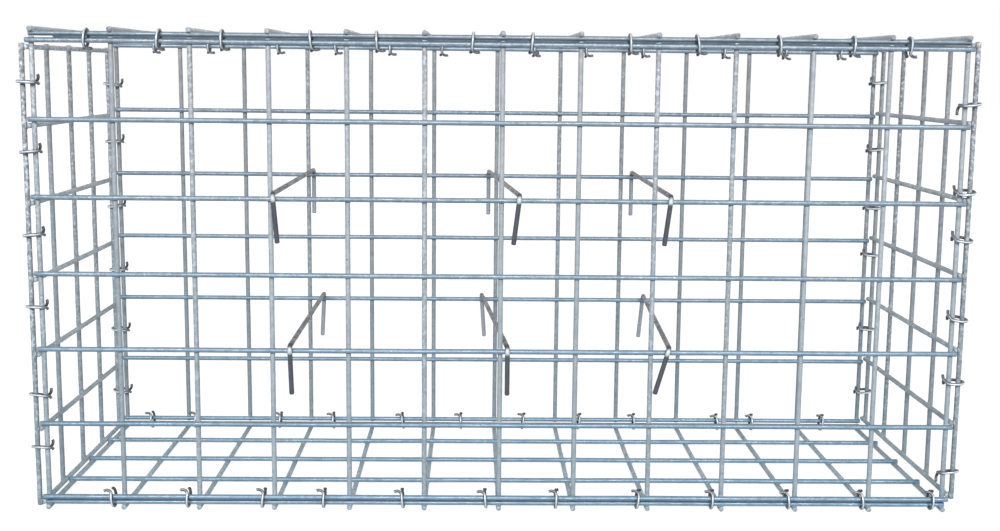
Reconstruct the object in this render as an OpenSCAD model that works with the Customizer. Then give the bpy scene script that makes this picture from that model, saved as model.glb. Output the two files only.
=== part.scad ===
// Welded wire mesh gabion basket, empty, with its lid closed.
// Six flat mesh panels are clipped together along their edges with C-rings,
// and six hooked bracing wires tie the front panel to the back panel.
// Millimetres. X runs along the length, Y towards the back, Z up.
// The origin is on the ground under the middle of the basket.

/* [Basket] */
// Openings along the length
cells_long = 12; // [6:1:16]
// Openings across the depth
cells_deep = 4; // [2:1:8]
// Openings up the height
cells_high = 6; // [5:1:9]
// Mesh opening, from wire middle to wire middle
mesh = 75; // [60:1:100]

/* [Mesh wire] */
// Diameter of the mesh wire
wire_d = 5; // [3:0.1:5.5]
// How deep crossing wires sink into each other at a weld
weld_sink = 0.8; // [0.4:0.1:1]
// How far the long wires of the base, lid and back pass the last wire that they cross
long_overhang = 2.7; // [2.5:0.1:4]
// How far the long wires of the front panel pass its last upright
front_overhang = 5; // [3:0.1:6]
// How far the cross wires of the base and lid pass the outermost long wire
cross_overhang = 6; // [4:0.1:9]

/* [Assembly] */
// Height between the base's long wires and the lowest wire of the side panels, middle to middle
edge_step = 6.5; // [6:0.1:10]
// Clear gap between pieces that rest on each other
seat_gap = 0.3; // [0.2:0.05:0.5]
// How much lower the left end panel hangs than the front panel
left_drop = 6.5; // [5:0.5:7]
// How much higher the right end panel sits than the front panel
right_rise = 3.5; // [2:0.5:6]

/* [C-rings] */
// Diameter of the ring wire
ring_wire_d = 3; // [2.4:0.1:3.2]
// Outside diameter of the rings up the corners
corner_ring_d = 22.2; // [21:0.1:25]
// Outside diameter of the rings along the long edges
edge_ring_d = 20.9; // [20:0.1:24]
// Angle between the longer end and the middle of a ring's closed side
long_gap = 55; // [50:1:60]
// The same angle at the left front corner, where the longer end stays tucked behind
tucked_gap = 75; // [65:1:80]
// Angle between the shorter end and the middle of a ring's closed side
short_gap = 15; // [10:1:20]
// Bend radius of the two ends
end_bend = 5; // [4:0.1:5.5]
// Bend radius of the ends at the right front corner, where they stand out in front
open_bend = 8; // [6:0.1:8.5]
// How far the longer end curls
long_curl = 120; // [90:1:130]
// How far the longer end curls at the right front corner
open_curl = 95; // [80:1:100]
// How far the shorter end curls
short_curl = 45; // [30:1:50]
// How far the rings lean from square, at most
ring_lean = 7; // [0:1:9]

/* [Bracing wires] */
// Diameter of the bracing wire
brace_d = 5; // [3:0.1:5]
// Openings under the panel wire that the lower bracing wires hook over
cells_below_lower = 2; // [1:1:2]
// Openings under the panel wire that the upper bracing wires hook over
cells_below_upper = 4; // [3:1:4]
// Length of the hooked legs in front
front_leg = 43; // [20:1:60]
// Length of the hooked legs at the back
back_leg = 47; // [20:1:60]

/* [Hidden] */
wire_sides = 8;
round_sides = 48;
wire_r = wire_d / 2;
wire_flat = wire_d / cos(180 / wire_sides);
layer = wire_d - weld_sink;
zinc = "#b9c3c9";
dark_zinc = "#6f7880";

// Whole numbers of openings
count_long = round(cells_long);
count_deep = round(cells_deep);
count_high = round(cells_high);

// Half sizes of the mesh, from outer wire middle to outer wire middle
half_long = count_long * mesh / 2;
half_deep = count_deep * mesh / 2;
high = count_high * mesh;

// Heights of the wire layers
base_cross_z = wire_r;
base_long_z = base_cross_z + layer;
low_z = base_long_z + edge_step;
lid_long_z = low_z + high + edge_step;
lid_cross_z = lid_long_z + layer;
upright_reach = edge_step - wire_r - seat_gap;

// Depths of the wire layers
front_upright_y = -half_deep;
front_wire_y = front_upright_y - layer;
back_wire_y = half_deep;
back_upright_y = back_wire_y + layer;

// Places of the end panels
long_end = half_long + long_overhang;
end_cross_x = long_end + seat_gap + wire_r;
end_upright_x = end_cross_x + layer;
// The end panels' cross wires stop just short of the front panel's long wires
end_overhang = layer - wire_r - seat_gap;

// Ring and hook seats. A ring is never too small for the two wires that it holds at a corner or an edge.
ring_seat = wire_r + ring_wire_d / 2 + seat_gap;
corner_apart = end_upright_x - half_long;
corner_hold = sqrt(corner_apart * corner_apart + layer * layer) / 2;
edge_hold = (edge_step * edge_step + layer * layer) / (2 * edge_step);
corner_ring_r = max((corner_ring_d - ring_wire_d) / 2, ring_seat + corner_hold);
edge_ring_r = max((edge_ring_d - ring_wire_d) / 2, ring_seat + edge_hold);
// Ring ends and hooks are a shade thinner than the wire that they grow out of, and start inside it
nip = 0.06;
root_turn = 2;
ring_root = 4;
tail_wire_d = ring_wire_d - nip;
hook_wire_d = brace_d - nip;
leg_wire_d = hook_wire_d - nip;
hook_r = wire_r + brace_d / 2 + seat_gap;
leg_root = hook_r * sin(root_turn);
leg_r = leg_wire_d / 2;
// The legs' tips are rounded in two steps
tip_round = 0.5 * leg_r;
tip_step = 0.3 * tip_round;
// Steps in angle that give neighbouring rings, and the rings of each edge, a lean of their own
lean_step = 73;
edge_lean_step = 40;

// How far each ring sits from the middle of its opening, as a share of the opening, clipped on by hand
top_front_shift = [0.19, 0.11, -0.08, 0.05, -0.11, 0.11, -0.13, 0.13, 0, 0.05, 0, -0.27];
top_back_shift = [0.13, -0.03, 0.05, -0.05, -0.19, -0.37, 0.08, -0.11, -0.21, 0.08, 0.05, -0.08];
bottom_front_shift = [0.35, 0.35, 0.35, 0.16, 0.21, 0.32, 0.27, 0.37, 0.37, 0.4, 0.4, 0.35];
bottom_back_shift = [-0.08, -0.37, 0, -0.13, 0, -0.05, -0.03, -0.11, -0.21, 0.16, -0.27, -0.11];
left_front_shift = [0.16, -0.13, 0.05, 0, 0.08, -0.03];
left_back_shift = [-0.05, -0.03, -0.05, -0.03, 0, -0.11];
right_front_shift = [-0.13, 0.11, -0.03, 0.03, -0.35, -0.21];
right_back_shift = [0, 0.05, 0.27, 0.03, -0.03, 0.03];

// How far each ring up a corner tips, in degrees, with its front side up
no_tip = [0];
left_front_tip = [16, 13, 10, 7, 4, 1];
right_front_tip = [13, -1, -5, -8, -9, -1];

// Which rings of each corner are clipped on with their longer end down: 1 for up, -1 for down
all_up = [1];
right_front_up = [-1, 1, 1, 1, 1, -1];

// Places of the bracing wires, in openings from the middle at the front and at the back,
// then how far the front leg and the back leg lean, in degrees
upper_left = [-2.955, -2.92, 5, 0];
upper_middle = [0.23, -0.12, -7, 0];
upper_right = [2.2, 2.17, -7, 0];
lower_left = [-2.76, -2.77, 2, 3];
lower_middle = [0.09, -0.22, 0, -4];
lower_right = [2.23, 2.4, -16, 5];

// One straight mesh wire along Z, between two heights, with flats facing the axes
module wire(from, to) {
    translate([0, 0, from])
        rotate([0, 0, 180 / wire_sides])
            cylinder(d = wire_flat, h = to - from, $fn = wire_sides);
}

module wire_x(from, to) {
    rotate([0, 90, 0]) wire(from, to);
}

module wire_y(from, to) {
    rotate([-90, 0, 0]) wire(from, to);
}

// A flat layer of long wires and a flat layer of cross wires, welded where they meet
module flat_panel(long_z, cross_z) {
    for (i = [0 : count_deep])
        translate([0, -half_deep + i * mesh, long_z])
            wire_x(-long_end, long_end);
    for (i = [0 : count_long])
        translate([-half_long + i * mesh, 0, cross_z])
            wire_y(-half_deep - cross_overhang, half_deep + cross_overhang);
}

// The long wires of a side panel
module side_long_wires(y, wire_end) {
    for (i = [0 : count_high])
        translate([0, y, low_z + i * mesh])
            wire_x(-wire_end, wire_end);
}

// The uprights of a side panel
module side_uprights(y) {
    for (i = [0 : count_long])
        translate([-half_long + i * mesh, y, low_z])
            wire(-upright_reach, high + upright_reach);
}

// Uprights outside and cross wires inside, at the end where side is -1 or 1
module end_panel(side, lift) {
    for (i = [0 : count_high])
        translate([side * end_cross_x, 0, low_z + lift + i * mesh])
            wire_y(-half_deep - end_overhang, half_deep + end_overhang);
    for (i = [0 : count_deep])
        translate([side * end_upright_x, -half_deep + i * mesh, low_z + lift])
            wire(-upright_reach, high + upright_reach);
}

module base_panel() {
    color(zinc) flat_panel(base_long_z, base_cross_z);
}

module lid_panel() {
    color(zinc) flat_panel(lid_long_z, lid_cross_z);
}

module front_long_wires() {
    color(zinc) side_long_wires(front_wire_y, half_long + front_overhang);
}

// The front uprights are notched at the welds, where the long wires sink into them
module front_uprights() {
    color(zinc) difference() {
        side_uprights(front_upright_y);
        side_long_wires(front_wire_y, half_long + front_overhang);
    }
}

module back_panel() {
    color(zinc) {
        side_long_wires(back_wire_y, long_end);
        side_uprights(back_upright_y);
    }
}

module left_end_panel() {
    color(zinc) end_panel(-1, -left_drop);
}

module right_end_panel() {
    color(zinc) end_panel(1, right_rise);
}

// A bend of round wire in the XY plane, between two angles
module wire_bend(r, d, from, to) {
    rotate([0, 0, from])
        rotate_extrude(angle = to - from, $fn = round_sides)
            translate([r, 0]) circle(d = d, $fn = round_sides);
}

// One end of a ring, which runs on round the loop and curls to its side, where way and rise are -1 or 1
module ring_end(r, bend, way, rise, curl) {
    translate([r, 0, rise * bend])
        rotate([0, 90 * rise, 0])
            wire_bend(bend, tail_wire_d, way > 0 ? -ring_root : -curl, way > 0 ? curl : ring_root);
}

// A closed C-ring round the Z direction, with its ends on the -X side.
// The longer end lies on the side of Y that way gives, and curls up or down as rise gives.
module c_ring(r, gap, bend, curl, way, rise, lean) {
    long_at = way * (180 - gap);
    short_at = way * (short_gap - 180);
    rotate([0, lean, 0]) {
        wire_bend(r, ring_wire_d, min(long_at, short_at), max(long_at, short_at));
        rotate([0, 0, long_at]) ring_end(r, bend, way, rise, curl);
        rotate([0, 0, short_at]) ring_end(r, end_bend, -way, -rise, short_curl);
    }
}

// Each ring's own lean, worked out so that neighbours differ
function lean_of(i, edge) = ring_lean * sin(lean_step * i + edge_lean_step * edge);

// Middle of an opening, from the panel's first wire, with its ring's shift
function ring_place(i, shifts) = (i + 0.5 + shifts[i % len(shifts)]) * mesh;

// Rings along a long edge, round the lid's or base's wire at z: up is 1 on the lid and -1 on the base
module long_edge_rings(y, z, up, shifts, edge) {
    for (i = [0 : count_long - 1])
        translate([-half_long + ring_place(i, shifts), y, z + up * (ring_seat - edge_ring_r)])
            rotate([90 - 90 * up, -90 * up, 0])
                c_ring(edge_ring_r, long_gap, end_bend, long_curl, -up, -up, lean_of(i, edge));
}

// Rings up a corner, round an end upright and a side upright that stand offset apart in depth.
// Their longer ends start at the angle gap, bend by the radius bend through the angle curl,
// and point up or down as ups gives.
module corner_rings(side, y, offset, shifts, tips, ups, gap, bend, curl, edge) {
    for (i = [0 : count_high - 1]) {
        up = ups[i % len(ups)];
        translate([side * (end_upright_x + half_long) / 2, y + offset / 2, low_z + ring_place(i, shifts)])
            rotate([-side * tips[i % len(tips)], 0, 90 - 90 * side])
                c_ring(corner_ring_r, gap, bend, curl, -up, up, lean_of(i, edge));
    }
}

module rings_top_front() {
    color(dark_zinc) long_edge_rings(-half_deep, lid_long_z, 1, top_front_shift, 1);
}

module rings_top_back() {
    color(dark_zinc) long_edge_rings(half_deep, lid_long_z, 1, top_back_shift, 2);
}

module rings_bottom_front() {
    color(dark_zinc) long_edge_rings(-half_deep, base_long_z, -1, bottom_front_shift, 3);
}

module rings_bottom_back() {
    color(dark_zinc) long_edge_rings(half_deep, base_long_z, -1, bottom_back_shift, 4);
}

module rings_left_front() {
    color(dark_zinc)
        corner_rings(
            -1, -half_deep, 0, left_front_shift, left_front_tip, all_up,
            tucked_gap, end_bend, long_curl, 5
        );
}

module rings_left_back() {
    color(dark_zinc)
        corner_rings(
            -1, half_deep, layer, left_back_shift, no_tip, all_up,
            long_gap, end_bend, long_curl, 6
        );
}

module rings_right_front() {
    color(dark_zinc)
        corner_rings(
            1, -half_deep, 0, right_front_shift, right_front_tip, right_front_up,
            long_gap, open_bend, open_curl, 7
        );
}

module rings_right_back() {
    color(dark_zinc)
        corner_rings(
            1, half_deep, layer, right_back_shift, no_tip, all_up,
            long_gap, end_bend, long_curl, 8
        );
}

// A hook's straight leg, down from its bend, with a rounded tip
module hook_leg(leg) {
    rotate_extrude($fn = round_sides)
        polygon([
            [0, leg_root],
            [0, -leg],
            [leg_r - tip_round, -leg],
            [leg_r - tip_step, -leg + tip_step],
            [leg_r, -leg + tip_round],
            [leg_r, leg_root]
        ]);
}

// A hook over a wire, from the end of a run along Y on, with its leg hanging down
module hook(leg, lean) {
    rotate([0, lean, 0]) translate([0, 0, -hook_r]) {
        rotate([0, -90, 0]) wire_bend(hook_r, hook_wire_d, -root_turn, 90);
        translate([0, hook_r, 0]) hook_leg(leg);
    }
}

// A bracing wire from the front panel to the back panel, hooked over both
module brace(cells_below, place) {
    front_x = place[0] * mesh;
    back_x = place[1] * mesh;
    run = back_wire_y - front_wire_y;
    skew = back_x - front_x;
    run_length = sqrt(run * run + skew * skew);
    translate([front_x, front_wire_y, low_z + round(cells_below) * mesh + hook_r])
        rotate([0, 0, -atan2(skew, run)]) {
            rotate([-90, 0, 0]) cylinder(d = brace_d, h = run_length, $fn = round_sides);
            rotate([0, 0, 180]) hook(front_leg, place[2]);
            translate([0, run_length, 0]) hook(back_leg, place[3]);
        }
}

module brace_upper_left() {
    color(dark_zinc) brace(cells_below_upper, upper_left);
}

module brace_upper_middle() {
    color(dark_zinc) brace(cells_below_upper, upper_middle);
}

module brace_upper_right() {
    color(dark_zinc) brace(cells_below_upper, upper_right);
}

module brace_lower_left() {
    color(dark_zinc) brace(cells_below_lower, lower_left);
}

module brace_lower_middle() {
    color(dark_zinc) brace(cells_below_lower, lower_middle);
}

module brace_lower_right() {
    color(dark_zinc) brace(cells_below_lower, lower_right);
}

base_panel();
front_long_wires();
front_uprights();
back_panel();
left_end_panel();
right_end_panel();
lid_panel();
rings_top_front();
rings_top_back();
rings_bottom_front();
rings_bottom_back();
rings_left_front();
rings_left_back();
rings_right_front();
rings_right_back();
brace_upper_left();
brace_upper_middle();
brace_upper_right();
brace_lower_left();
brace_lower_middle();
brace_lower_right();
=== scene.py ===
"""Dresses a packed gabion basket: welded mesh panels, C-rings and bracing wires in galvanised steel."""

import logging
import math
import random
from abc import ABC, abstractmethod
from dataclasses import dataclass, field
from enum import Enum
from typing import Any, NamedTuple

import bmesh
import bpy
from mathutils import Matrix, Vector


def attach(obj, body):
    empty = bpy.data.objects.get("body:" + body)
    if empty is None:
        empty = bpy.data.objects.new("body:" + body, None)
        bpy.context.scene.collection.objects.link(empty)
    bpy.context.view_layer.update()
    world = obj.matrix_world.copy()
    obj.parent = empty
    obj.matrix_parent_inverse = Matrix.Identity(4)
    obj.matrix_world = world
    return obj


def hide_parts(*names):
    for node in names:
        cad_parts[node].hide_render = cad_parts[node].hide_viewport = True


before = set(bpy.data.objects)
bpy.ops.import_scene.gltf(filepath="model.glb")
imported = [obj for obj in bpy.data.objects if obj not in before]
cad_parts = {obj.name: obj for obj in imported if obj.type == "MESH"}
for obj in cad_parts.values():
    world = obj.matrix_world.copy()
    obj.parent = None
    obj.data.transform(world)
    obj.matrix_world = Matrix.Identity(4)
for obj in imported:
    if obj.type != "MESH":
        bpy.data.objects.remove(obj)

LOG = logging.getLogger("gabion_basket")
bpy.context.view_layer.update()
MM = 0.001
BODY = "root"
IMAGE_WIDTH_PX = 1000
SENSOR_MM = 36.0
WHITE = (1.0, 1.0, 1.0, 1.0)
# Places of a panel's finishes in its list of materials
LONG_WIRE, OTHER_WIRE, CUT_END = range(3)
# Numbers of the colour mix node's sockets, because their names repeat
MIX_SHARE, MIX_UNDER, MIX_OVER, MIX_RESULT = 0, 6, 7, 2
# Lengths closer than this, in metres, are the same
CLOSE = 1e-6
# Seed of the first panel's small differences, with one more for each next panel
FIRST_SEED = 11

Tree = bpy.types.NodeTree
Socket = bpy.types.NodeSocket
Piece = bpy.types.Object


class Run(Enum):
    """The way that a wire runs."""

    LONG = "X"
    DEEP = "Y"
    UP = "Z"

    @property
    def along(self) -> Vector:
        """Unit vector along the run."""
        return Vector(float(axis is self) for axis in Run)


# Rotations that lay an upright wire along each run
TURN = {
    Run.LONG: Matrix.Rotation(math.pi / 2, 4, "Y"),
    Run.DEEP: Matrix.Rotation(-math.pi / 2, 4, "X"),
    Run.UP: Matrix.Identity(4),
}


class Slot(Enum):
    """Material slots of the record that new meshes take."""

    MESH = "mesh_wire"


class Band(NamedTuple):
    """Values of a pattern between which a mark comes in, and its greatest share."""

    start: float
    end: float
    most: float = 1.0


def linear(code: str) -> tuple[float, float, float, float]:
    """Turn an sRGB hex colour into linear light.

    Args:
        code: Six hex digits after a hash sign.

    Returns:
        Red, green, blue and an alpha of 1.
    """
    parts = [int(code[i:i + 2], 16) / 255 for i in (1, 3, 5)]
    red, green, blue = (p / 12.92 if p <= 0.04045 else ((p + 0.055) / 1.055) ** 2.4 for p in parts)
    return red, green, blue, 1.0


def per_mm(size_mm: float) -> float:
    """Pattern scale, in cells a metre, for features of a size in millimetres."""
    return 1.0 / (size_mm * MM)


def add_node(tree: Tree, kind: str, inputs: dict[Any, Any] | None = None, **settings: Any) -> bpy.types.Node:
    """Add one shader node with its settings and links.

    Args:
        tree: Node tree that takes the node.
        kind: Blender's name for the node type.
        inputs: Socket name or number, with a plain value or an output socket to link from.
        settings: Node properties to set.

    Returns:
        The new node.
    """
    node = tree.nodes.new(kind)
    for name, value in settings.items():
        setattr(node, name, value)
    for key, value in (inputs or {}).items():
        if isinstance(value, Socket):
            tree.links.new(value, node.inputs[key])
        else:
            node.inputs[key].default_value = value
    return node


def calc(tree: Tree, operation: str, *values: Any) -> Socket:
    """Add a math node.

    Args:
        tree: Node tree that takes the node.
        operation: Blender's name for the operation.
        values: Plain values or output sockets, in the operation's order.

    Returns:
        Socket with the result.
    """
    return add_node(tree, "ShaderNodeMath", dict(enumerate(values)), operation=operation).outputs[0]


def vector_calc(tree: Tree, operation: str, *values: Any) -> bpy.types.NodeOutputs:
    """Add a vector math node.

    Args:
        tree: Node tree that takes the node.
        operation: Blender's name for the operation.
        values: Plain vectors or output sockets, in the operation's order.

    Returns:
        Sockets with the result: "Vector", or "Value" where it is a number.
    """
    return add_node(tree, "ShaderNodeVectorMath", dict(enumerate(values)), operation=operation).outputs


def ramp(tree: Tree, value: Socket, start: float, end: float, high: float = 1.0, low: float = 0.0) -> Socket:
    """Add a node that takes one range of values to another and stops at both ends.

    Args:
        tree: Node tree that takes the node.
        value: Socket to read.
        start: Value that gives low.
        end: Value that gives high.
        high: Result at the end.
        low: Result at the start.

    Returns:
        Socket with the result.
    """
    ranges = {"Value": value, "From Min": start, "From Max": end, "To Min": low, "To Max": high}
    return add_node(tree, "ShaderNodeMapRange", ranges).outputs[0]


def noise(tree: Tree, place: Socket, size_mm: float, detail: float) -> Socket:
    """Add a cloudy pattern.

    Args:
        tree: Node tree that takes the node.
        place: Object coordinates.
        size_mm: Size of the clouds, in millimetres.
        detail: How many finer patterns are laid over the clouds.

    Returns:
        Socket with the pattern, from 0 to 1.
    """
    pattern = {"Vector": place, "Scale": per_mm(size_mm), "Detail": detail}
    return add_node(tree, "ShaderNodeTexNoise", pattern).outputs["Fac"]


def blend(tree: Tree, share: Socket, under: Any, over: Any) -> Socket:
    """Lay one colour over another.

    Args:
        tree: Node tree that takes the node.
        share: How much of the upper colour shows.
        under: Lower colour, plain or from a socket.
        over: Upper colour, plain or from a socket.

    Returns:
        Socket with the mixed colour.
    """
    layers = {MIX_SHARE: share, MIX_UNDER: under, MIX_OVER: over}
    return add_node(tree, "ShaderNodeMix", layers, data_type="RGBA").outputs[MIX_RESULT]


def deselect_all() -> None:
    """Leave edit mode and deselect everything."""
    if bpy.context.object and bpy.context.object.mode != "OBJECT":
        bpy.ops.object.mode_set(mode="OBJECT")
    bpy.ops.object.select_all(action="DESELECT")


def activate(piece: Piece) -> None:
    """Make one object the only selected and active one."""
    deselect_all()
    piece.select_set(True)
    bpy.context.view_layer.objects.active = piece


def join(pieces: list[Piece], name: str) -> Piece:
    """Join mesh objects into one that sits at the origin.

    Args:
        pieces: Objects to join.
        name: Name of the joined object.

    Returns:
        The joined object.
    """
    activate(pieces[0])
    for piece in pieces:
        piece.select_set(True)
    bpy.ops.object.join()
    whole = bpy.context.view_layer.objects.active
    bpy.ops.object.transform_apply(location=True, rotation=True, scale=True)
    whole.name = name
    whole.data.name = name
    return whole


def copy_at(master: Piece, place: Matrix) -> Piece:
    """Copy an object with its own mesh, with its place in that mesh.

    Args:
        master: Object to copy.
        place: Where the copy goes.

    Returns:
        The copy.
    """
    twin = master.copy()
    twin.data = master.data.copy()
    twin.data.transform(place)
    bpy.context.collection.objects.link(twin)
    return twin


def displace(piece: Piece, texture: bpy.types.Texture, direction: str, strength: float,
             mid_level: float = 0.5, group: str = "") -> None:
    """Push the active object's surface by a texture, for good.

    Args:
        piece: Active mesh object.
        texture: Pattern of the push.
        direction: Axis, or NORMAL for the surface's own direction.
        strength: Distance between the pattern's lowest and highest value, in metres.
        mid_level: Value of the pattern that pushes nothing.
        group: Vertex group that weighs the push, or none.
    """
    push = piece.modifiers.new("displace " + direction, "DISPLACE")
    push.texture = texture
    push.texture_coords = "LOCAL"
    push.direction = direction
    push.strength = strength
    push.mid_level = mid_level
    push.vertex_group = group
    bpy.ops.object.modifier_apply(modifier=push.name)


class WireMark(ABC):
    """Mark over a finish: where it shows, and its colour."""

    colour: str

    @abstractmethod
    def share(self, tree: Tree, place: Socket) -> Socket:
        """Mask the mark.

        Args:
            tree: Node tree of the material.
            place: Object coordinates.

        Returns:
            Socket that is 0 where nothing is marked and up to 1 where the mark is full.
        """


@dataclass(frozen=True)
class RingSideShade(WireMark):
    """Painted shade on a row of rings: dark paint over all but their outer face, which keeps the pale ring
    colour as a painted highlight, and over most of their curled ends, in millimetres.
    """

    run: Run
    passes: tuple[float, float, float]
    ends: tuple[float, float, float]
    radius: float
    # Colour of the painted shade
    colour: str = "#34383c"
    facing: Band = Band(0.96, 0.72)
    end_radii: Band = Band(0.6, 0.85, 0.8)

    def share(self, tree: Tree, place: Socket) -> Socket:
        """Mask the painted shade: all but the rings' outer face, and most of their curled ends.

        Args:
            tree: Node tree of the material.
            place: Object coordinates.

        Returns:
            Socket that is 0 on a ring's outer face and up to 1 elsewhere.
        """
        across = Vector((1.0, 1.0, 1.0)) - self.run.along
        away = vector_calc(tree, "SUBTRACT", place, Vector(self.passes) * MM)["Vector"]
        flat = vector_calc(tree, "MULTIPLY", away, across)["Vector"]
        outward = vector_calc(tree, "NORMALIZE", flat)["Vector"]
        normal = add_node(tree, "ShaderNodeNewGeometry").outputs["Normal"]
        facing = vector_calc(tree, "DOT_PRODUCT", outward, normal)["Value"]
        reach = vector_calc(tree, "DOT_PRODUCT", flat, self.ends)["Value"]
        radii = calc(tree, "DIVIDE", reach, self.radius * MM)
        return calc(tree, "MAXIMUM", ramp(tree, facing, *self.facing), ramp(tree, radii, *self.end_radii))


@dataclass(frozen=True)
class HookHighlightAndLightLegs(WireMark):
    """Painted highlight on bracing wires where they bend over the front panel's wires, and lighter rear legs,
    in millimetres.
    """

    height: float
    apart: float
    front: float
    rear: float
    reach: float = 5.0
    front_fade: float = 2.0
    rear_fade: float = 1.0
    rear_share: float = 0.5
    # Colour of the painted highlight on front bends and of the lighter rear legs
    colour: str = "#bfc4c7"

    def share(self, tree: Tree, place: Socket) -> Socket:
        """Mask the bend of each front hook and the whole of each rear leg.

        Args:
            tree: Node tree of the material.
            place: Object coordinates.

        Returns:
            Socket that is 1 on a front bend's painted highlight, up to the rear share on a rear leg, and 0
            elsewhere.
        """
        split = add_node(tree, "ShaderNodeSeparateXYZ", {"Vector": place}).outputs
        level = calc(tree, "SUBTRACT", split["Z"], self.height * MM)
        half = self.apart / 2 * MM
        off = calc(tree, "ABSOLUTE", calc(tree, "WRAP", level, half, -half))
        beside = ramp(tree, off, self.reach * MM, self.reach / 2 * MM)
        fore = ramp(tree, split["Y"], -self.front * MM, -(self.front + self.front_fade) * MM)
        leg = ramp(tree, split["Y"], (self.rear - self.rear_fade) * MM, self.rear * MM, self.rear_share)
        return calc(tree, "MAXIMUM", calc(tree, "MULTIPLY", beside, fore), leg)


@dataclass(frozen=True)
class PairGapShade(WireMark):
    """Painted shade in the gap where two long wires lie close along an edge, in millimetres."""

    heights: tuple[float, float]
    edge: float
    reach: float = 2.6
    most: float = 0.75
    # Colour of the painted shade between the wires
    colour: str = "#2f475a"

    def share(self, tree: Tree, place: Socket) -> Socket:
        """Mask the painted shade on the sides of paired wires that face each other.

        Args:
            tree: Node tree of the material.
            place: Object coordinates.

        Returns:
            Socket that is highest between the wires and 0 away from them.
        """
        split = add_node(tree, "ShaderNodeSeparateXYZ", {"Vector": place}).outputs
        at_edge = calc(tree, "GREATER_THAN", calc(tree, "ABSOLUTE", split["Y"]), self.edge * MM)
        low, high = (calc(tree, "ABSOLUTE", calc(tree, "SUBTRACT", split["Z"], height * MM))
                     for height in self.heights)
        near = calc(tree, "MINIMUM", low, high)
        dark = ramp(tree, near, self.reach * MM, self.reach / 2 * MM, self.most)
        return calc(tree, "MULTIPLY", dark, at_edge)


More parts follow.
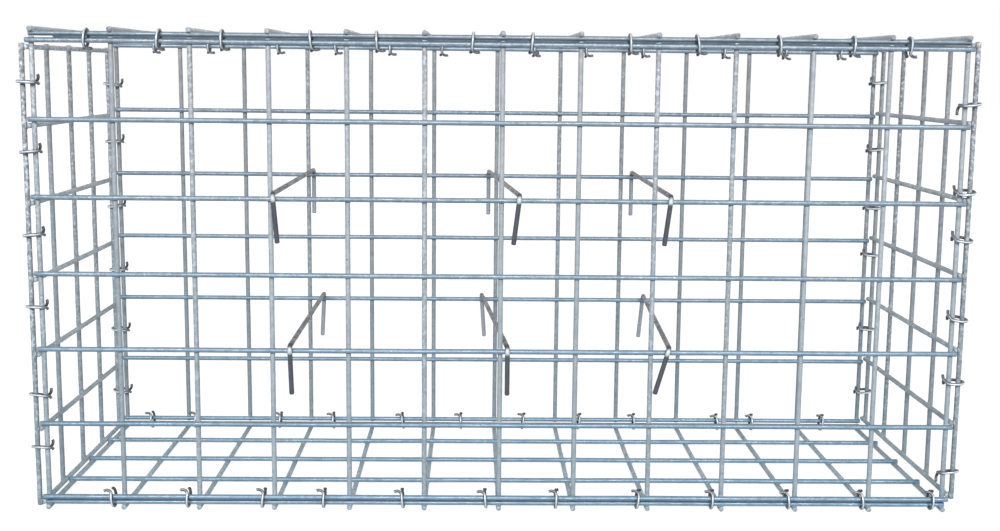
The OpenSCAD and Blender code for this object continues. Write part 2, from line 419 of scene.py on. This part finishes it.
@dataclass(frozen=True)
class ZincFinish:
    """Zinc over drawn steel wire.

    Hot zinc freezes in faint spangles, dulls in patches and keeps small pits. Where it ran thick it stays
    rough; there its lumps are painted near white, as painted glints, beside hollows painted dark as shade. So
    the wire looks pale, half dull and half bright.
    """

    name: str
    bright: str
    dull: str
    pit: str
    # Near-white colour of the painted glints on zinc lumps
    lump: str = "#e9edef"
    spangle_mm: float = 5.0
    patch_mm: float = 34.0
    grain_mm: float = 2.2
    crust_mm: float = 3.2
    grain_detail: float = 2.0
    patch_detail: float = 3.0
    crust_detail: float = 1.0
    spangle_share: float = 0.5
    dulled: Band = Band(0.45, 1.05)
    pits: Band = Band(0.67, 0.76)
    # Where the painted glints on lumps and the painted shade in hollows show on the crust pattern
    lumps: Band = Band(0.55, 0.63, 0.9)
    hollow_shade: Band = Band(0.41, 0.35, 0.7)
    metallic: float = 0.15
    roughness: float = 0.45
    bright_smoother: float = 0.1
    dull_rougher: float = 0.16
    sheen: float = 0.25
    relief_mm: float = 0.12
    relief_strength: float = 0.5
    lid_mm: float = 476.0
    low_cast: float = 1.12
    lid_cast: float = 0.66
    low_shade: float = 1.0
    low_lumps: float = 0.35
    by_wire: bool = True

    def material(self, mark: WireMark | None = None) -> bpy.types.Material:
        """Build the finish as a node material.

        Args:
            mark: Painted shade on rings, painted highlight and lighter rear legs on hooks, or painted shade
                between paired wires, over the finish.

        Returns:
            The new material.
        """
        mat = bpy.data.materials.new(self.name)
        mat.use_nodes = True
        tree = mat.node_tree
        tree.nodes.clear()
        place = add_node(tree, "ShaderNodeTexCoord").outputs["Object"]
        grain = noise(tree, place, self.grain_mm, self.grain_detail)
        dulled = self.dull_share(tree, place)
        zinc = blend(tree, dulled, linear(self.bright), linear(self.dull))
        colour = blend(tree, ramp(tree, grain, *self.pits), zinc, linear(self.pit))
        if self.by_wire:
            colour = self.wire_colour(tree, place, colour)
        # Lay the painted shade or highlight over the colour
        if mark:
            colour = blend(tree, mark.share(tree, place), colour, linear(mark.colour))
        smoothest, roughest = self.roughness - self.bright_smoother, self.roughness + self.dull_rougher
        relief = {"Height": grain, "Strength": self.relief_strength, "Distance": self.relief_mm * MM}
        surface = {
            "Base Color": colour,
            "Metallic": self.metallic,
            "Roughness": ramp(tree, dulled, 0.0, 1.0, roughest, smoothest),
            "Specular IOR Level": self.sheen,
            "Normal": add_node(tree, "ShaderNodeBump", relief).outputs[0],
        }
        shader = add_node(tree, "ShaderNodeBsdfPrincipled", surface)
        add_node(tree, "ShaderNodeOutputMaterial", {"Surface": shader.outputs[0]})
        return mat

    def dull_share(self, tree: Tree, place: Socket) -> Socket:
        """Work out where the zinc is dull: whole patches, broken up by the spangles.

        Args:
            tree: Node tree of the material.
            place: Object coordinates.

        Returns:
            Socket that goes from 0, bright, to 1, dull.
        """
        cells = {"Vector": place, "Scale": per_mm(self.spangle_mm)}
        spangle = add_node(tree, "ShaderNodeTexVoronoi", cells).outputs["Color"]
        level = add_node(tree, "ShaderNodeSeparateColor", {"Color": spangle}).outputs[0]
        patch = noise(tree, place, self.patch_mm, self.patch_detail)
        mixed = calc(tree, "MULTIPLY_ADD", level, self.spangle_share, patch)
        return ramp(tree, mixed, *self.dulled)

    def wire_colour(self, tree: Tree, place: Socket, colour: Socket) -> Socket:
        """Add each wire's own tone, and painted glints on lumps and painted shade in hollows where its zinc
        is rough.

        The colour is painted darker towards the ground, where low_shade is under 1, as shade, and is more
        saturated and bluish there; it is greyer near the lid, where most lumps are.

        Args:
            tree: Node tree of the material.
            place: Object coordinates.
            colour: Colour of the plain zinc.

        Returns:
            Socket with the finished colour.
        """
        tone, rough = (add_node(tree, "ShaderNodeAttribute", attribute_name=name).outputs["Fac"]
                       for name in ("tone", "rough"))
        crust = noise(tree, place, self.crust_mm, self.crust_detail)
        height = add_node(tree, "ShaderNodeSeparateXYZ", {"Vector": place}).outputs["Z"]
        # Saturation, painted shade and share of lumps, from the ground to the lid
        at_lid_and_ground = ((self.lid_cast, self.low_cast), (1.0, self.low_shade), (1.0, self.low_lumps))
        cast, shade, lumpy = (ramp(tree, height, 0.0, self.lid_mm * MM, lid, ground)
                              for lid, ground in at_lid_and_ground)
        rough = calc(tree, "MULTIPLY", rough, lumpy)
        # Painted glints on lumps and painted shade in hollows, where the wire is rough
        for band, code in ((self.lumps, self.lump), (self.hollow_shade, self.pit)):
            share = calc(tree, "MULTIPLY", ramp(tree, crust, *band), rough)
            colour = blend(tree, share, colour, linear(code))
        toned = {"Color": colour, "Value": calc(tree, "MULTIPLY", tone, shade), "Saturation": cast}
        return add_node(tree, "ShaderNodeHueSaturation", toned).outputs[0]


# Long wires: the zinc drained off them evenly, so they stay smooth and bright and take a blue cast
LONG_ZINC = ZincFinish("hot_dip_galvanised_long_wire", "#748c9c", "#617a8a", "#41545f",
                       metallic=0.08, roughness=0.34, sheen=0.8)
# Uprights and cross wires: the zinc ran along them in the bath, so they are duller and greyer
UPRIGHT_ZINC = ZincFinish("hot_dip_galvanised_upright_wire", "#a9adaf", "#9a9fa1", "#62686b",
                          roughness=0.5, low_cast=2.6, lid_cast=0.45, low_shade=0.88)
# Cut ends: sheared through zinc and steel, so they are dull, grey and torn
SHEARED_STEEL = ZincFinish("sheared_steel_wire_end", "#949b9e", "#767c80", "#3c4145",
                           spangle_mm=1.5, patch_mm=4.0, grain_mm=1.0, roughness=0.6, relief_mm=0.2)
# Ring wire: drawn through a zinc-aluminium bath, so it is smooth; its pale colour shows on the outer face as
# a painted highlight, and painted shade darkens the rest
RING_ZINC = ZincFinish("zinc_aluminium_ring_wire", "#d2d8dd", "#b3b9bf", "#6a6f74",
                       spangle_mm=2.5, patch_mm=12.0, grain_mm=1.2, metallic=0.12, roughness=0.34,
                       sheen=0.8, relief_mm=0.05, by_wire=False)
# Bracing wire: drawn and thinly galvanised, so it is dark grey, with a painted highlight on its front bends
# and lighter rear legs
BRACE_ZINC = ZincFinish("drawn_galvanised_brace_wire", "#4b4e54", "#3a3d43", "#27292c",
                        spangle_mm=3.0, patch_mm=16.0, grain_mm=1.5, metallic=0.08, roughness=0.34,
                        sheen=0.4, relief_mm=0.06, by_wire=False)


@dataclass
class WireStock:
    """Straight round wire, modelled once for each length and copied."""

    radius: float = 2.5 * MM
    sides: int = 14
    step: float = 3.0 * MM
    fewest_cuts: int = 2
    end_round: float = 0.7 * MM
    end_steps: int = 2
    end_facing: float = 0.9
    shelf: dict[int, Piece] = field(default_factory=dict)

    def model(self, length: float) -> Piece:
        """Model one wire along Z, centred on the origin, with rounded cut ends.

        Args:
            length: Length of the wire in metres.

        Returns:
            The wire.
        """
        key = round(length / CLOSE)
        if key in self.shelf:
            return self.shelf[key]
        deselect_all()
        bpy.ops.mesh.primitive_cylinder_add(vertices=self.sides, radius=self.radius, depth=length,
                                            end_fill_type="NGON")
        wire = bpy.context.object
        bpy.ops.object.mode_set(mode="EDIT")
        bpy.ops.mesh.select_all(action="DESELECT")
        bpy.ops.mesh.select_mode(type="EDGE")
        self.pick_edges(wire, along=True)
        bpy.ops.mesh.subdivide(number_cuts=max(self.fewest_cuts, round(length / self.step)))
        bpy.ops.mesh.select_all(action="DESELECT")
        self.pick_edges(wire, along=False, reach=length / 2)
        bpy.ops.mesh.bevel(offset=self.end_round, segments=self.end_steps, affect="EDGES")
        bpy.ops.object.mode_set(mode="OBJECT")
        for face in wire.data.polygons:
            face.material_index = CUT_END if abs(face.normal.z) > self.end_facing else LONG_WIRE
        self.shelf[key] = wire
        return wire

    def pick_edges(self, wire: Piece, along: bool, reach: float = 0.0) -> None:
        """Select the edges along the wire, or those round its ends.

        Args:
            wire: Wire in edit mode.
            along: True for the lengthwise edges, False for the rims.
            reach: Distance of the rims from the middle, in metres.
        """
        shape = bmesh.from_edit_mesh(wire.data)
        for edge in shape.edges:
            low, high = sorted(v.co.z for v in edge.verts)
            lengthwise = high - low > self.end_round
            at_rim = abs(abs(low) - reach) < CLOSE and high - low < CLOSE
            edge.select_set(lengthwise if along else at_rim)
        bmesh.update_edit_mesh(wire.data)

    def clear(self) -> None:
        """Delete the masters once every copy is made."""
        for wire in self.shelf.values():
            bpy.data.objects.remove(wire)
        self.shelf.clear()


@dataclass
class WeldBead:
    """Metal squeezed out where two wires are welded, modelled once and copied."""

    spread: float = 3.5 * MM
    height: float = 1.6 * MM
    segments: int = 8
    rings: int = 5
    master: Piece | None = None

    def model(self) -> Piece:
        """Model one flattened bead about the origin, in the XY plane.

        Returns:
            The bead.
        """
        if self.master is None:
            deselect_all()
            bpy.ops.mesh.primitive_uv_sphere_add(segments=self.segments, ring_count=self.rings,
                                                 radius=self.spread)
            self.master = bpy.context.object
            bpy.ops.object.mode_set(mode="EDIT")
            bpy.ops.mesh.select_all(action="SELECT")
            bpy.ops.transform.resize(value=(1.0, 1.0, self.height / self.spread))
            bpy.ops.object.mode_set(mode="OBJECT")
        return self.master

    def clear(self) -> None:
        """Delete the master once every copy is made."""
        if self.master is not None:
            bpy.data.objects.remove(self.master)
            self.master = None


@dataclass
class WireRow:
    """Parallel wires of one panel: the way they run, their two ends, and the places that they pass."""

    run: Run
    start: float
    end: float
    places: list[Vector]
    lumps: float
    tone: float = 1.0

    @property
    def finish(self) -> int:
        """Place of the row's finish in its panel's materials."""
        return LONG_WIRE if self.run is Run.LONG else OTHER_WIRE


@dataclass
class MeshPanel:
    """One welded mesh panel of the basket, in place of its CAD nodes."""

    name: str
    nodes: tuple[str, ...]
    rows: list[WireRow]
    bead_normal: Run
    bead_shift: Vector
    seed: int = FIRST_SEED
    lump_shares: tuple[float, ...] = (0.5, 1.0, 3.0)
    wire_tones: tuple[float, float] = (0.9, 1.04)
    bead_sizes: tuple[float, float] = (0.9, 1.12)
    bead_tones: tuple[float, float] = (0.82, 1.0)
    bead_lumps: float = 0.3
    sway: float = 0.5 * MM
    sway_length: float = 110.0 * MM
    lump: float = 0.45 * MM
    lump_length: float = 4.5 * MM
    lump_level: float = 0.55
    smooth_angle: float = 50.0

    def build(self, stock: WireStock, bead: WeldBead, materials: list[bpy.types.Material]) -> Piece:
        """Model the panel, dress it and set it on the frame.

        Args:
            stock: Source of straight wires.
            bead: Source of weld beads.
            materials: Finishes of the long wires, of the other wires and of cut ends.

        Returns:
            The finished panel.
        """
        draw = random.Random(self.seed)
        pieces = [self.place_wire(stock, row, place, draw) for row in self.rows for place in row.places]
        pieces += self.place_beads(bead, draw)
        for piece in pieces:
            for material in materials:
                piece.data.materials.append(material)
        panel = join(pieces, self.name + "_wires")
        self.roughen(panel)
        bpy.ops.object.shade_smooth_by_angle(angle=math.radians(self.smooth_angle))
        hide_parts(*self.nodes)
        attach(panel, BODY)
        LOG.info("%s: %d faces", panel.name, len(panel.data.polygons))
        return panel

    def place_wire(self, stock: WireStock, row: WireRow, place: Vector, draw: random.Random) -> Piece:
        """Copy one wire to its place, with a tone and a share of zinc lumps of its own.

        Args:
            stock: Source of straight wires.
            row: Row that the wire belongs to.
            place: Point that the wire passes, on the plane through the row's zero.
            draw: Seeded source of small differences.

        Returns:
            The placed wire.
        """
        middle = place + row.run.along * (row.start + row.end) / 2
        spin = Matrix.Rotation(draw.uniform(0, math.tau), 4, "Z")
        wire = copy_at(stock.model(row.end - row.start), Matrix.Translation(middle) @ TURN[row.run] @ spin)
        lumps = row.lumps * draw.choice(self.lump_shares)
        self.mark(wire, row.tone * draw.uniform(*self.wire_tones), lumps, row.finish)
        return wire

    def place_beads(self, bead: WeldBead, draw: random.Random) -> list[Piece]:
        """Copy a bead to every crossing of the two rows.

        Args:
            bead: Source of weld beads.
            draw: Seeded source of small differences.

        Returns:
            The placed beads.
        """
        first, second = self.rows
        beads = []
        for a in first.places:
            for b in second.places:
                spot = Vector(max(p, q, key=abs) for p, q in zip(a, b)) + self.bead_shift
                size = Matrix.Scale(draw.uniform(*self.bead_sizes), 4)
                spin = Matrix.Rotation(draw.uniform(0, math.tau), 4, "Z")
                turned = TURN[self.bead_normal] @ size @ spin
                twin = copy_at(bead.model(), Matrix.Translation(spot) @ turned)
                self.mark(twin, draw.uniform(*self.bead_tones), self.bead_lumps, OTHER_WIRE)
                beads.append(twin)
        return beads

    @staticmethod
    def mark(piece: Piece, tone: float, lumps: float, finish: int) -> None:
        """Give a piece its tone, its share of zinc lumps and its finish.

        Args:
            piece: Wire or bead.
            tone: Brightness against the finish.
            lumps: Share of the panel's lumps, where over 1 counts as 1.
            finish: Place of its finish in the panel's materials.
        """
        count = len(piece.data.vertices)
        share = min(1.0, lumps)
        for name, value in (("tone", tone), ("rough", share)):
            layer = piece.data.attributes.new(name, "FLOAT", "POINT")
            layer.data.foreach_set("value", [value] * count)
        for face in piece.data.polygons:
            face.material_index = CUT_END if face.material_index == CUT_END else finish
        piece.vertex_groups.new(name="lumps").add(list(range(count)), share, "REPLACE")

    def roughen(self, panel: Piece) -> None:
        """Sway the wires a little and raise the frozen zinc.

        Args:
            panel: Joined panel.
        """
        drift = bpy.data.textures.new(self.name + "_sway", "CLOUDS")
        drift.noise_scale = self.sway_length
        zinc = bpy.data.textures.new(self.name + "_zinc", "CLOUDS")
        zinc.noise_scale = self.lump_length
        zinc.noise_depth = 1
        activate(panel)
        for axis in Run:
            displace(panel, drift, axis.value, self.sway)
        displace(panel, zinc, "NORMAL", self.lump, self.lump_level, "lumps")


@dataclass
class BasketSizes:
    """Sizes of the basket, in millimetres, as the part's source gives them."""

    mesh: float = 75.0
    cells_long: int = 12
    cells_deep: int = 4
    cells_high: int = 6
    wire: float = 5.0
    layer: float = 4.2
    edge_step: float = 6.5
    seat: float = 0.3
    ring_drop: float = 4.65
    edge_ring: float = 20.9
    corner_ring: float = 22.2
    long_overhang: float = 2.7
    front_overhang: float = 5.0
    cross_overhang: float = 6.0
    left_drop: float = 6.5
    right_rise: float = 3.5

    @property
    def half_long(self) -> float:
        """Half of the mesh's length."""
        return self.cells_long * self.mesh / 2

    @property
    def half_deep(self) -> float:
        """Half of the mesh's depth."""
        return self.cells_deep * self.mesh / 2

    @property
    def high(self) -> float:
        """Height of the mesh."""
        return self.cells_high * self.mesh

    @property
    def base_long_z(self) -> float:
        """Height of the base's long wires."""
        return self.wire / 2 + self.layer

    @property
    def low_z(self) -> float:
        """Height of the lowest long wire of the sides."""
        return self.base_long_z + self.edge_step

    @property
    def lid_long_z(self) -> float:
        """Height of the lid's long wires."""
        return self.low_z + self.high + self.edge_step

    @property
    def upright_reach(self) -> float:
        """How far uprights pass the outermost wire that they cross."""
        return self.edge_step - self.wire / 2 - self.seat

    @property
    def end_cross_x(self) -> float:
        """Distance of the end panels' cross wires from the middle."""
        return self.half_long + self.long_overhang + self.seat + self.wire / 2

    def steps(self, cells: int) -> list[float]:
        """Wire places of a mesh side, about its middle."""
        return [(i - cells / 2) * self.mesh for i in range(cells + 1)]


@dataclass
class BasketLooks:
    """How the panels differ: brightness against their finish, and share of zinc lumps."""

    lid_tone: float = 0.86
    back_tone: float = 0.8
    left_tone: float = 0.85
    right_tone: float = 0.77
    cross_tone: float = 1.35
    flat_long_lumps: float = 0.04
    side_long_lumps: float = 0.06
    other_lumps: float = 0.15
    left_lumps: float = 0.6
    right_lumps: float = 0.3


@dataclass
class Basket:
    """The six mesh panels of the basket."""

    sizes: BasketSizes = field(default_factory=BasketSizes)
    looks: BasketLooks = field(default_factory=BasketLooks)

    def panels(self) -> list[MeshPanel]:
        """Describe the six panels.

        Returns:
            The panels, ready to build.
        """
        s, looks = self.sizes, self.looks
        panels = [
            self.flat("base_panel", s.base_long_z, s.wire / 2),
            self.side("front_panel", ("front_long_wires", "front_uprights"),
                      -s.half_deep - s.layer, -s.half_deep, s.front_overhang),
            self.side("back_panel", ("back_panel",),
                      s.half_deep, s.half_deep + s.layer, s.long_overhang, looks.back_tone),
            self.end("left_end_panel", -1, -s.left_drop, looks.left_lumps, looks.left_tone),
            self.end("right_end_panel", 1, s.right_rise, looks.right_lumps, looks.right_tone),
            self.flat("lid_panel", s.lid_long_z, s.lid_long_z + s.layer, looks.lid_tone),
        ]
        for seed, panel in enumerate(panels, FIRST_SEED):
            panel.seed = seed
        return panels

    def seam(self) -> PairGapShade:
        """Place the painted shade in the gaps between the long wires of the base or lid and those of the
        sides.

        Returns:
            The painted shade.
        """
        s = self.sizes
        half_step = s.edge_step / 2
        return PairGapShade((s.base_long_z + half_step, s.lid_long_z - half_step), s.half_deep - s.wire)

    def flat(self, node: str, long_z: float, cross_z: float, tone: float = 1.0) -> MeshPanel:
        """Describe the base or the lid.

        Args:
            node: CAD node that the panel stands for.
            long_z: Height of the long wires, in millimetres.
            cross_z: Height of the cross wires, in millimetres.
            tone: Brightness of the wires against their finish.

        Returns:
            The panel.
        """
        s, looks = self.sizes, self.looks
        reach = s.half_long + s.long_overhang
        cross = s.half_deep + s.cross_overhang
        longs = [Vector((0, y, long_z)) * MM for y in s.steps(s.cells_deep)]
        crosses = [Vector((x, 0, cross_z)) * MM for x in s.steps(s.cells_long)]
        rows = [
            WireRow(Run.LONG, -reach * MM, reach * MM, longs, looks.flat_long_lumps, tone),
            WireRow(Run.DEEP, -cross * MM, cross * MM, crosses, looks.other_lumps, tone * looks.cross_tone),
        ]
        middle = (long_z + cross_z) / 2 - max(long_z, cross_z)
        return MeshPanel(node, (node,), rows, Run.UP, Vector((0, 0, middle)) * MM)

    def side(self, name: str, nodes: tuple[str, ...], wire_y: float, upright_y: float, overhang: float,
             tone: float = 1.0) -> MeshPanel:
        """Describe the front or the back panel.

        Args:
            name: Name of the panel.
            nodes: CAD nodes that the panel stands for.
            wire_y: Depth of the long wires, in millimetres.
            upright_y: Depth of the uprights, in millimetres.
            overhang: How far the long wires pass the last upright, in millimetres.
            tone: Brightness of the uprights against their finish.

        Returns:
            The panel.
        """
        s, looks = self.sizes, self.looks
        reach = s.half_long + overhang
        low, top = s.low_z - s.upright_reach, s.low_z + s.high + s.upright_reach
        longs = [Vector((0, wire_y, s.low_z + i * s.mesh)) * MM for i in range(s.cells_high + 1)]
        uprights = [Vector((x, upright_y, 0)) * MM for x in s.steps(s.cells_long)]
        rows = [
            WireRow(Run.LONG, -reach * MM, reach * MM, longs, looks.side_long_lumps),
            WireRow(Run.UP, low * MM, top * MM, uprights, looks.other_lumps, tone),
        ]
        middle = (wire_y + upright_y) / 2 - max(wire_y, upright_y, key=abs)
        return MeshPanel(name, nodes, rows, Run.DEEP, Vector((0, middle, 0)) * MM)

    def end(self, node: str, side: int, lift: float, lumps: float, tone: float) -> MeshPanel:
        """Describe an end panel.

        Args:
            node: CAD node that the panel stands for.
            side: -1 for the left end, 1 for the right end.
            lift: Height against the front panel, in millimetres.
            lumps: Share of zinc lumps on its uprights.
            tone: Brightness of the uprights against their finish.

        Returns:
            The panel.
        """
        s, looks = self.sizes, self.looks
        cross_x, upright_x = side * s.end_cross_x, side * (s.end_cross_x + s.layer)
        reach = s.half_deep + s.layer - s.wire / 2 - s.seat
        low = s.low_z + lift
        bottom, top = low - s.upright_reach, low + s.high + s.upright_reach
        crosses = [Vector((cross_x, 0, low + i * s.mesh)) * MM for i in range(s.cells_high + 1)]
        uprights = [Vector((upright_x, y, 0)) * MM for y in s.steps(s.cells_deep)]
        rows = [
            WireRow(Run.DEEP, -reach * MM, reach * MM, crosses, looks.other_lumps, looks.cross_tone),
            WireRow(Run.UP, bottom * MM, top * MM, uprights, lumps, tone),
        ]
        middle = (cross_x - upright_x) / 2
        return MeshPanel(node, (node,), rows, Run.LONG, Vector((middle, 0, 0)) * MM)


@dataclass
class Fittings:
    """C-rings and bracing wires, whose CAD shapes stay and get their finish."""

    sizes: BasketSizes = field(default_factory=BasketSizes)
    brace_start: str = "brace_"
    lower_cells: int = 2
    row_cells: int = 2
    highlight_rise: float = 2.0

    def ring_side_shades(self) -> dict[str, RingSideShade]:
        """Place the painted shade of each row of rings about the line that they go round.

        Returns:
            The painted shades by CAD node.
        """
        s = self.sizes
        corner = (s.half_long + s.end_cross_x + s.layer) / 2
        back = s.half_deep + s.layer / 2
        lid, base = s.lid_long_z - s.ring_drop, s.base_long_z + s.ring_drop
        ring_side_shades = {}
        for name, z, way in (("top", lid, -1), ("bottom", base, 1)):
            for edge, y in (("front", -s.half_deep), ("back", s.half_deep)):
                line = (0, y, z)
                ring_side_shades[f"rings_{name}_{edge}"] = RingSideShade(Run.LONG, line, (0, 0, way), s.edge_ring / 2)
        for name, side in (("left", -1), ("right", 1)):
            for edge, y in (("front", -s.half_deep), ("back", back)):
                line = (side * corner, y, 0)
                ring_side_shades[f"rings_{name}_{edge}"] = RingSideShade(Run.UP, line, (-side, 0, 0), s.corner_ring / 2)
        return ring_side_shades

    def hook_highlight(self) -> HookHighlightAndLightLegs:
        """Place the painted highlights and lighter rear legs of the bracing wires.

        Returns:
            The painted highlights and lighter legs, which repeat from one row of bracing wires to the next.
        """
        s = self.sizes
        return HookHighlightAndLightLegs(height=s.low_z + self.lower_cells * s.mesh + self.highlight_rise,
                       apart=self.row_cells * s.mesh,
                       front=s.half_deep + s.layer + s.wire,
                       rear=s.half_deep + s.wire / 2)

    def dress(self) -> None:
        """Give each ring row and each bracing wire its finish, with painted shade on the rings and a painted
        highlight on the hooks.
        """
        for node, ring_side_shade in self.ring_side_shades().items():
            self.paint(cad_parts[node], RING_ZINC.material(ring_side_shade))
        brace_material = BRACE_ZINC.material(self.hook_highlight())
        for name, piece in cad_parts.items():
            if name.startswith(self.brace_start):
                self.paint(piece, brace_material)

    @staticmethod
    def paint(piece: Piece, material: bpy.types.Material) -> None:
        """Put one material on all of a piece.

        Args:
            piece: CAD node.
            material: Its finish.
        """
        for place in piece.material_slots:
            place.material = material
        LOG.info("%s: %s", piece.name, material.name)


@dataclass
class PhotoCamera:
    """Camera at the photograph's place, found from the mesh's own lines, with its turns in radians."""

    place_mm: tuple[float, float, float] = (-27.3, -1446.1, 439.8)
    yaw: float = -0.0204
    pitch: float = 0.1462
    roll: float = 0.0100
    focal_px: float = 1332.5

    def build(self) -> None:
        """Add the camera and make it the scene's."""
        data = bpy.data.cameras.new("photo_camera")
        data.sensor_fit = "HORIZONTAL"
        data.sensor_width = SENSOR_MM
        data.lens = SENSOR_MM * self.focal_px / IMAGE_WIDTH_PX
        camera = bpy.data.objects.new("photo_camera", data)
        bpy.context.collection.objects.link(camera)
        aim = Matrix.Rotation(self.yaw, 4, "Z") @ Matrix.Rotation(math.pi / 2 - self.pitch, 4, "X")
        turn = aim @ Matrix.Rotation(self.roll, 4, "Z")
        camera.matrix_world = Matrix.Translation(Vector(self.place_mm) * MM) @ turn
        bpy.context.scene.camera = camera


@dataclass
class Studio:
    """White floor and surroundings, lit from the front, and more weakly from behind and from both ends."""

    floor_size: float = 30.0
    floor_glow: float = 0.86
    floor_grey: tuple[float, float, float, float] = (0.3, 0.3, 0.3, 1.0)
    bounce: str = "#6f8fa0"
    sky: str = "#d5e2f0"
    sky_level: float = 0.05
    white_level: float = 1.0
    tint: str = "#f8faff"
    key_level: float = 1.1
    key_spread: float = 16.0
    key_tilt: float = 68.0
    key_turns: tuple[float, ...] = (-22.0, -8.0, 6.0, 20.0)
    fills: tuple[tuple[float, float], ...] = ((90.0, 1.2), (180.0, 2.0), (270.0, 1.2))
    fill_spread: float = 20.0
    fill_tilt: float = 80.0

    def build(self) -> None:
        """Add the floor, the lamps and the world."""
        bpy.context.scene.view_settings.view_transform = "Standard"
        self.add_floor()
        self.add_lamps()
        self.add_world()

    def add_floor(self) -> None:
        """Add a white floor that keeps a faint shadow and throws a bluish light up."""
        deselect_all()
        bpy.ops.mesh.primitive_plane_add(size=self.floor_size, location=(0, 0, 0))
        floor = bpy.context.object
        floor.name = "floor"
        mat = bpy.data.materials.new("white_floor")
        mat.use_nodes = True
        tree = mat.node_tree
        tree.nodes.clear()
        matt = add_node(tree, "ShaderNodeBsdfDiffuse", {"Color": linear(self.bounce)})
        glow = add_node(tree, "ShaderNodeEmission", {"Color": WHITE, "Strength": self.floor_glow})
        faint = add_node(tree, "ShaderNodeBsdfDiffuse", {"Color": self.floor_grey})
        lit = add_node(tree, "ShaderNodeAddShader", {0: glow.outputs[0], 1: faint.outputs[0]})
        shaders = {0: self.seen_rays(tree), 1: matt.outputs[0], 2: lit.outputs[0]}
        both = add_node(tree, "ShaderNodeMixShader", shaders)
        add_node(tree, "ShaderNodeOutputMaterial", {"Surface": both.outputs[0]})
        floor.data.materials.append(mat)

    def add_lamps(self) -> None:
        """Add a bank of key lights behind the camera, and fill lights behind the basket and at both ends."""
        for turn in self.key_turns:
            self.add_sun(f"key_{turn:.0f}", self.key_level, self.key_spread, self.key_tilt, turn)
        for turn, level in self.fills:
            fill = self.add_sun(f"fill_{turn:.0f}", level, self.fill_spread, self.fill_tilt, turn)
            fill.visible_glossy = False

    def add_sun(self, name: str, level: float, spread: float, tilt: float, turn: float) -> Piece:
        """Add one lamp.

        Args:
            name: Name of the lamp.
            level: Its strength.
            spread: Angle that it covers in the sky, in degrees.
            tilt: Angle from straight above, in degrees.
            turn: Angle round from the front, in degrees.

        Returns:
            The lamp.
        """
        data = bpy.data.lights.new(name, "SUN")
        data.energy = level
        data.color = linear(self.tint)[:3]
        data.angle = math.radians(spread)
        lamp = bpy.data.objects.new(name, data)
        bpy.context.collection.objects.link(lamp)
        lamp.rotation_euler = (math.radians(tilt), 0.0, math.radians(turn))
        return lamp

    def add_world(self) -> None:
        """Add soft light from all round, with a white background behind the basket."""
        world = bpy.data.worlds.new("studio")
        bpy.context.scene.world = world
        world.use_nodes = True
        tree = world.node_tree
        tree.nodes.clear()
        soft = add_node(tree, "ShaderNodeBackground", {"Color": linear(self.sky), "Strength": self.sky_level})
        white = add_node(tree, "ShaderNodeBackground", {"Color": WHITE, "Strength": self.white_level})
        shaders = {0: self.seen_rays(tree), 1: soft.outputs[0], 2: white.outputs[0]}
        both = add_node(tree, "ShaderNodeMixShader", shaders)
        add_node(tree, "ShaderNodeOutputWorld", {"Surface": both.outputs[0]})

    @staticmethod
    def seen_rays(tree: Tree) -> Socket:
        """Tell rays that show the background from those that light the basket.

        Args:
            tree: Node tree of the floor or the world.

        Returns:
            Socket that is 1 for camera, glossy and transmission rays.
        """
        path = add_node(tree, "ShaderNodeLightPath").outputs
        shiny = calc(tree, "MAXIMUM", path["Is Glossy Ray"], path["Is Transmission Ray"])
        return calc(tree, "MAXIMUM", path["Is Camera Ray"], shiny)


def main() -> None:
    """Build the camera, the studio and the dressed basket."""
    logging.basicConfig(level=logging.INFO, format="%(name)s: %(message)s")
    PhotoCamera().build()
    Studio().build()
    basket = Basket()
    # The long wires carry painted shade between paired wires at the edges
    mesh_materials = [LONG_ZINC.material(basket.seam()), UPRIGHT_ZINC.material(), SHEARED_STEEL.material()]
    stock, bead = WireStock(), WeldBead()
    for panel in basket.panels():
        panel.build(stock, bead, mesh_materials)
    stock.clear()
    bead.clear()
    Fittings().dress()


if __name__ == "__main__":
    main()
